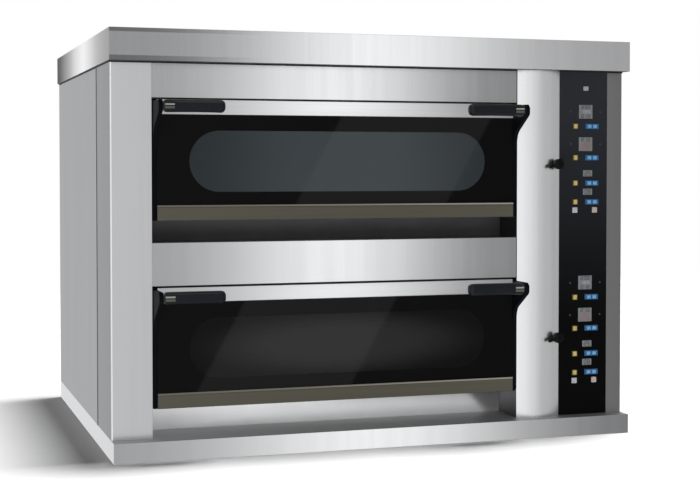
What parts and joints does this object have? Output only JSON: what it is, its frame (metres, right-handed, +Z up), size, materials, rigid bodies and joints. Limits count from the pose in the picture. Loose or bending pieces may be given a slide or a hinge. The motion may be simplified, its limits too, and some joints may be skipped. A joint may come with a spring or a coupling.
{
  "type": "deck oven",
  "caption": "Electric deck oven: stacked wide baking chambers with drop-down glazed doors, a bowed damper column and a strip of keys and displays, under a deep overhanging cap.",
  "frame": {"origin": "on the floor under the middle of the whole footprint, door grips and flue collars included", "axes": "+X to the right as seen from the front, -Y towards the front where the doors are, +Z up"},
  "size_m": [1.31, 1.14, 0.987],
  "materials": {
    "casing_steel": "brushed stainless steel",
    "dark_sheet": "dark coated steel sheet",
    "galvanised_sheet": "galvanised steel sheet",
    "control_plate": "dark satin control plate",
    "mineral_wool": "matt fibre slab",
    "chamber_steel": "heat-darkened aluminised steel",
    "hearth_stone": "cast refractory slab",
    "heater_sheath": "sheathed heating tube",
    "seal_rope": "woven glass-fibre rope",
    "lamp_glass": "clear oven lamp cover",
    "screw_steel": "bright screws",
    "display_block": "smoked display covers and boards",
    "bearing_steel": "machined blocks",
    "switchgear_plastic": "moulded switchgear",
    "gland_plastic": "moulded gland",
    "door_pan": "dark enamelled pan",
    "door_glass": "black-bordered oven glass",
    "door_steel": "brushed stainless steel",
    "bronze_trim": "bronze anodised trim",
    "side_plate": "dark coated plate",
    "grip_plastic": "dark heat-proof grip",
    "damper_handle": "black lever with steel rod",
    "yellow_key": "yellow key",
    "blue_key": "blue two-way key",
    "white_key": "white key",
    "power_key": "pale key"
  },
  "bodies": {
    "oven_body": {"plinth_frame": "casing_steel", "left_front_post": "casing_steel", "right_front_post": "casing_steel", "side_panels": "casing_steel", "back_panel": "galvanised_sheet", "top_cap": "casing_steel", "header_panel": "casing_steel", "middle_panel": "casing_steel", "kick_panel": "casing_steel", "upper_sill_panel": "dark_sheet", "jamb_walls": "casing_steel", "column_cover": "casing_steel", "control_fascia": "control_plate", "insulation_blocks": "mineral_wool", "upper_chamber": "chamber_steel", "lower_chamber": "chamber_steel", "hearth_plates": "hearth_stone", "heating_elements": "heater_sheath", "door_gaskets": "seal_rope", "chamber_lamps": "lamp_glass", "flue_ducts": "galvanised_sheet", "casing_screws": "screw_steel", "display_modules": "display_block", "hinge_brackets": "bearing_steel", "switchgear": "switchgear_plastic", "cable_gland": "gland_plastic"},
    "upper_door": {"upper_door_frame": "door_pan", "upper_door_panes": "door_glass", "upper_door_top_rail": "door_steel", "upper_door_bottom_rail": "bronze_trim", "upper_door_side_plates": "side_plate", "upper_door_handles": "grip_plastic"},
    "lower_door": {"lower_door_frame": "door_pan", "lower_door_panes": "door_glass", "lower_door_top_rail": "door_steel", "lower_door_bottom_rail": "bronze_trim", "lower_door_side_plates": "side_plate", "lower_door_handles": "grip_plastic"},
    "upper_damper_lever": {"upper_damper": "damper_handle"},
    "lower_damper_lever": {"lower_damper": "damper_handle"},
    "upper_top_heat_key_body": {"upper_top_heat_key": "yellow_key"},
    "upper_top_heat_rocker_body": {"upper_top_heat_rocker": "blue_key"},
    "upper_bottom_heat_key_body": {"upper_bottom_heat_key": "yellow_key"},
    "upper_bottom_heat_rocker_body": {"upper_bottom_heat_rocker": "blue_key"},
    "upper_timer_key_body": {"upper_timer_key": "yellow_key"},
    "upper_timer_rocker_body": {"upper_timer_rocker": "blue_key"},
    "upper_preset_key_body": {"upper_preset_key": "yellow_key"},
    "upper_preset_rocker_body": {"upper_preset_rocker": "blue_key"},
    "upper_lamp_key_body": {"upper_lamp_key": "white_key"},
    "upper_power_key_body": {"upper_power_key": "power_key"},
    "lower_top_heat_key_body": {"lower_top_heat_key": "yellow_key"},
    "lower_top_heat_rocker_body": {"lower_top_heat_rocker": "blue_key"},
    "lower_bottom_heat_key_body": {"lower_bottom_heat_key": "yellow_key"},
    "lower_bottom_heat_rocker_body": {"lower_bottom_heat_rocker": "blue_key"},
    "lower_timer_key_body": {"lower_timer_key": "yellow_key"},
    "lower_timer_rocker_body": {"lower_timer_rocker": "blue_key"},
    "lower_preset_key_body": {"lower_preset_key": "yellow_key"},
    "lower_preset_rocker_body": {"lower_preset_rocker": "blue_key"},
    "lower_lamp_key_body": {"lower_lamp_key": "white_key"},
    "lower_power_key_body": {"lower_power_key": "power_key"}
  },
  "joints": [
    {"name": "upper_door_hinge", "type": "hinge", "parent": "oven_body", "child": "upper_door", "pos_m": [-0.0975, -0.481, 0.557], "axis": [1, 0, 0], "range_deg": [0, 90]},
    {"name": "lower_door_hinge", "type": "hinge", "parent": "oven_body", "child": "lower_door", "pos_m": [-0.0975, -0.481, 0.123], "axis": [1, 0, 0], "range_deg": [0, 90]},
    {"name": "upper_damper_turn", "type": "hinge", "parent": "oven_body", "child": "upper_damper_lever", "pos_m": [0.463, -0.512, 0.6795], "axis": [0, 1, 0], "range_deg": [0, 90]},
    {"name": "lower_damper_turn", "type": "hinge", "parent": "oven_body", "child": "lower_damper_lever", "pos_m": [0.463, -0.512, 0.2455], "axis": [0, 1, 0], "range_deg": [0, 90]},
    {"name": "upper_top_heat_key_press", "type": "slide", "parent": "oven_body", "child": "upper_top_heat_key_body", "axis": [0, 1, 0], "range_m": [0, 0.0012], "stiffness_N_per_m": 400, "springref_m": -0.001},
    {"name": "upper_top_heat_rocker_tilt", "type": "hinge", "parent": "oven_body", "child": "upper_top_heat_rocker_body", "pos_m": [0.5655, -0.4835, 0.775], "axis": [0, 0, 1], "range_deg": [-3, 3], "stiffness_Nm_per_rad": 0.05},
    {"name": "upper_bottom_heat_key_press", "type": "slide", "parent": "oven_body", "child": "upper_bottom_heat_key_body", "axis": [0, 1, 0], "range_m": [0, 0.0012], "stiffness_N_per_m": 400, "springref_m": -0.001},
    {"name": "upper_bottom_heat_rocker_tilt", "type": "hinge", "parent": "oven_body", "child": "upper_bottom_heat_rocker_body", "pos_m": [0.5655, -0.4835, 0.696], "axis": [0, 0, 1], "range_deg": [-3, 3], "stiffness_Nm_per_rad": 0.05},
    {"name": "upper_timer_key_press", "type": "slide", "parent": "oven_body", "child": "upper_timer_key_body", "axis": [0, 1, 0], "range_m": [0, 0.0012], "stiffness_N_per_m": 400, "springref_m": -0.001},
    {"name": "upper_timer_rocker_tilt", "type": "hinge", "parent": "oven_body", "child": "upper_timer_rocker_body", "pos_m": [0.5655, -0.4835, 0.632], "axis": [0, 0, 1], "range_deg": [-3, 3], "stiffness_Nm_per_rad": 0.05},
    {"name": "upper_preset_key_press", "type": "slide", "parent": "oven_body", "child": "upper_preset_key_body", "axis": [0, 1, 0], "range_m": [0, 0.0012], "stiffness_N_per_m": 400, "springref_m": -0.001},
    {"name": "upper_preset_rocker_tilt", "type": "hinge", "parent": "oven_body", "child": "upper_preset_rocker_body", "pos_m": [0.5655, -0.4835, 0.5845], "axis": [0, 0, 1], "range_deg": [-3, 3], "stiffness_Nm_per_rad": 0.05},
    {"name": "upper_lamp_key_press", "type": "slide", "parent": "oven_body", "child": "upper_lamp_key_body", "axis": [0, 1, 0], "range_m": [0, 0.0012], "stiffness_N_per_m": 400, "springref_m": -0.001},
    {"name": "upper_power_key_press", "type": "slide", "parent": "oven_body", "child": "upper_power_key_body", "axis": [0, 1, 0], "range_m": [0, 0.0012], "stiffness_N_per_m": 400, "springref_m": -0.001},
    {"name": "lower_top_heat_key_press", "type": "slide", "parent": "oven_body", "child": "lower_top_heat_key_body", "axis": [0, 1, 0], "range_m": [0, 0.0012], "stiffness_N_per_m": 400, "springref_m": -0.001},
    {"name": "lower_top_heat_rocker_tilt", "type": "hinge", "parent": "oven_body", "child": "lower_top_heat_rocker_body", "pos_m": [0.5655, -0.4835, 0.344], "axis": [0, 0, 1], "range_deg": [-3, 3], "stiffness_Nm_per_rad": 0.05},
    {"name": "lower_bottom_heat_key_press", "type": "slide", "parent": "oven_body", "child": "lower_bottom_heat_key_body", "axis": [0, 1, 0], "range_m": [0, 0.0012], "stiffness_N_per_m": 400, "springref_m": -0.001},
    {"name": "lower_bottom_heat_rocker_tilt", "type": "hinge", "parent": "oven_body", "child": "lower_bottom_heat_rocker_body", "pos_m": [0.5655, -0.4835, 0.265], "axis": [0, 0, 1], "range_deg": [-3, 3], "stiffness_Nm_per_rad": 0.05},
    {"name": "lower_timer_key_press", "type": "slide", "parent": "oven_body", "child": "lower_timer_key_body", "axis": [0, 1, 0], "range_m": [0, 0.0012], "stiffness_N_per_m": 400, "springref_m": -0.001},
    {"name": "lower_timer_rocker_tilt", "type": "hinge", "parent": "oven_body", "child": "lower_timer_rocker_body", "pos_m": [0.5655, -0.4835, 0.201], "axis": [0, 0, 1], "range_deg": [-3, 3], "stiffness_Nm_per_rad": 0.05},
    {"name": "lower_preset_key_press", "type": "slide", "parent": "oven_body", "child": "lower_preset_key_body", "axis": [0, 1, 0], "range_m": [0, 0.0012], "stiffness_N_per_m": 400, "springref_m": -0.001},
    {"name": "lower_preset_rocker_tilt", "type": "hinge", "parent": "oven_body", "child": "lower_preset_rocker_body", "pos_m": [0.5655, -0.4835, 0.1535], "axis": [0, 0, 1], "range_deg": [-3, 3], "stiffness_Nm_per_rad": 0.05},
    {"name": "lower_lamp_key_press", "type": "slide", "parent": "oven_body", "child": "lower_lamp_key_body", "axis": [0, 1, 0], "range_m": [0, 0.0012], "stiffness_N_per_m": 400, "springref_m": -0.001},
    {"name": "lower_power_key_press", "type": "slide", "parent": "oven_body", "child": "lower_power_key_body", "axis": [0, 1, 0], "range_m": [0, 0.0012], "stiffness_N_per_m": 400, "springref_m": -0.001}
  ]
}
